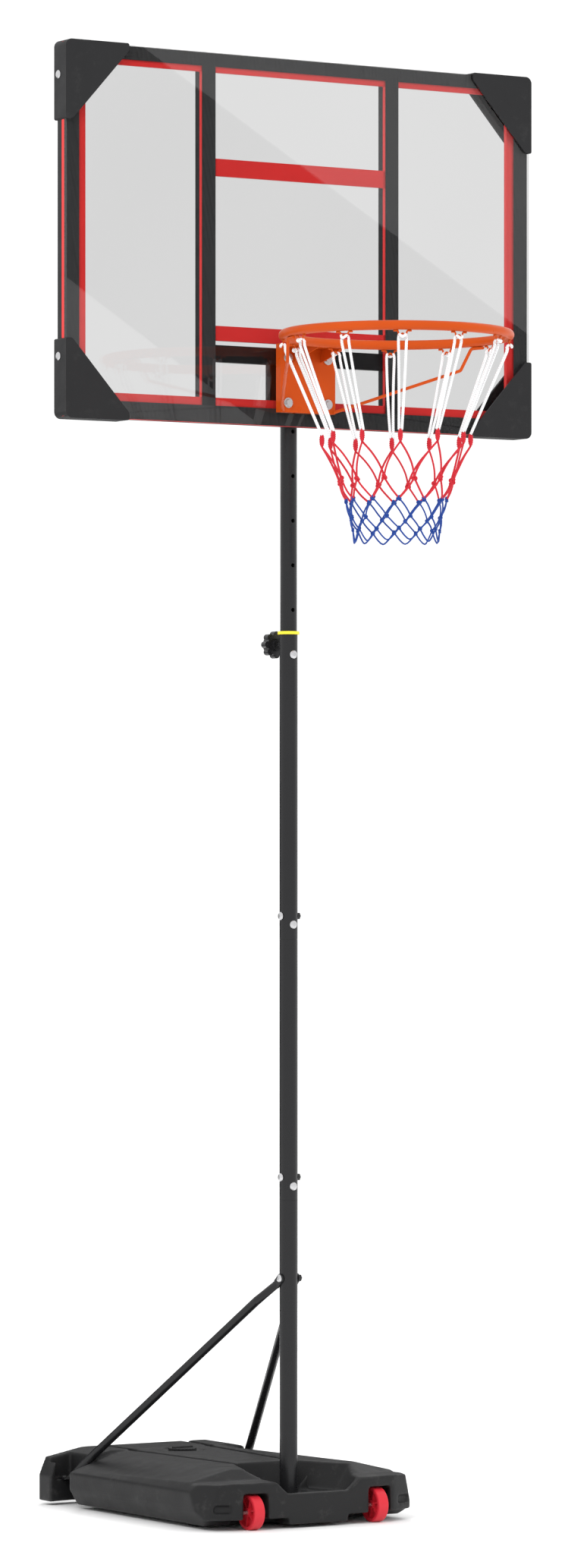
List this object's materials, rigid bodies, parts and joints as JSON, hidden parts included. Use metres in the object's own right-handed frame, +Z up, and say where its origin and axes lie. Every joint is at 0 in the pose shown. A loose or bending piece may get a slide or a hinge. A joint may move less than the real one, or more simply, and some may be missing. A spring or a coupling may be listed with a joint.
{
  "type": "portable basketball hoop",
  "caption": "Free-standing basketball hoop: ballast tank with wheels and struts, telescoping pole, clear framed backboard with corner guards, fixed ring and net.",
  "frame": {"origin": "on the floor under the pole axis, on the flat underside of the tank's centre block", "axes": "+Z up along the pole, the rim reaches towards -Y, +X is to the right seen from the front"},
  "size_m": [1.132, 1.228, 2.9966],
  "materials": {
    "tank_black": "blow-moulded polyethylene, satin",
    "fill_water": "water fill, sealed inside the tank",
    "plastic_black": "moulded plastic, satin",
    "gasket_rubber": "matt rubber",
    "pole_black": "powder-coated steel, satin",
    "bolt_silver": "bright zinc plating",
    "nut_black": "black oxide steel",
    "ring_yellow": "moulded plastic",
    "wheel_red": "moulded plastic",
    "frame_black": "powder-coated steel tube",
    "acrylic_clear": "clear acrylic, polished",
    "film_black": "black print and foam tape",
    "trim_red": "red moulded trim",
    "pad_black": "soft moulded corner guard",
    "rim_orange": "orange powder coat",
    "net_cord": "braided polyester cord, white then red then blue"
  },
  "bodies": {
    "base": {"base_tank": "tank_black", "ballast_water": "fill_water", "pole_foot_cap": "plastic_black", "pole_bottom": "pole_black", "pole_middle": "pole_black", "pole_top_outer": "pole_black", "joint_bolts": "bolt_silver", "joint_nuts": "nut_black", "limit_ring": "ring_yellow", "lock_bolt": "bolt_silver", "clamp_boss": "pole_black", "strut_right": "pole_black", "strut_left": "pole_black", "strut_bolt": "bolt_silver", "strut_nut": "nut_black", "strut_foot_bolts": "bolt_silver", "wheel_axles": "bolt_silver"},
    "filler_cap": {"filler_cap": "plastic_black", "filler_gasket": "gasket_rubber"},
    "clamp_pad": {"clamp_pad": "bolt_silver"},
    "clamp_knob": {"clamp_stud": "bolt_silver", "clamp_knob": "plastic_black", "knob_insert": "bolt_silver"},
    "wheel_left": {"wheel_left": "wheel_red"},
    "wheel_right": {"wheel_right": "wheel_red"},
    "mast": {"pole_inner": "pole_black", "pole_inner_cap": "plastic_black", "pole_saddles": "pole_black", "pole_bolts": "bolt_silver", "pole_nuts": "bolt_silver", "frame_rail_top": "frame_black", "frame_rail_bottom": "frame_black", "frame_stile_left": "frame_black", "frame_stile_right": "frame_black", "frame_upright_left": "frame_black", "frame_upright_right": "frame_black", "frame_crossbar": "frame_black", "mount_plate": "frame_black", "acrylic_sheet": "acrylic_clear", "border_film": "film_black", "foam_tape": "film_black", "red_trim": "trim_red", "pad_top_left": "pad_black", "pad_top_right": "pad_black", "pad_bottom_left": "pad_black", "pad_bottom_right": "pad_black", "pad_bolts": "bolt_silver", "rim_bracket": "rim_orange", "rim_shelf": "rim_orange", "rim_ring": "rim_orange", "rim_brace_left": "rim_orange", "rim_brace_right": "rim_orange", "net_hooks": "rim_orange", "rim_bolts": "bolt_silver", "rim_nuts": "bolt_silver", "net": "net_cord"}
  },
  "joints": [
    {"name": "mast_height", "type": "slide", "parent": "base", "child": "mast", "axis": [0, 0, 1], "range_m": [-0.3656, 0]},
    {"name": "clamp_travel", "type": "slide", "parent": "base", "child": "clamp_pad", "axis": [0, 1, 0], "range_m": [0, 0.0038]},
    {"name": "clamp_turn", "type": "hinge", "parent": "clamp_pad", "child": "clamp_knob", "pos_m": [0, 0.04, 1.801], "axis": [0, 1, 0], "range_deg": [0, 1080]},
    {"name": "wheel_left_spin", "type": "hinge", "parent": "base", "child": "wheel_left", "pos_m": [-0.149, -0.095, 0.036], "axis": [1, 0, 0], "continuous": true},
    {"name": "wheel_right_spin", "type": "hinge", "parent": "base", "child": "wheel_right", "pos_m": [0.149, -0.095, 0.036], "axis": [1, 0, 0], "continuous": true},
    {"name": "filler_cap_off", "type": "slide", "parent": "base", "child": "filler_cap", "axis": [0, 0, 1], "range_m": [0, 0.05]}
  ],
  "couplings": [
    {"joint": "clamp_travel", "follows": "clamp_turn", "m_per_rad": 0.000199}
  ]
}
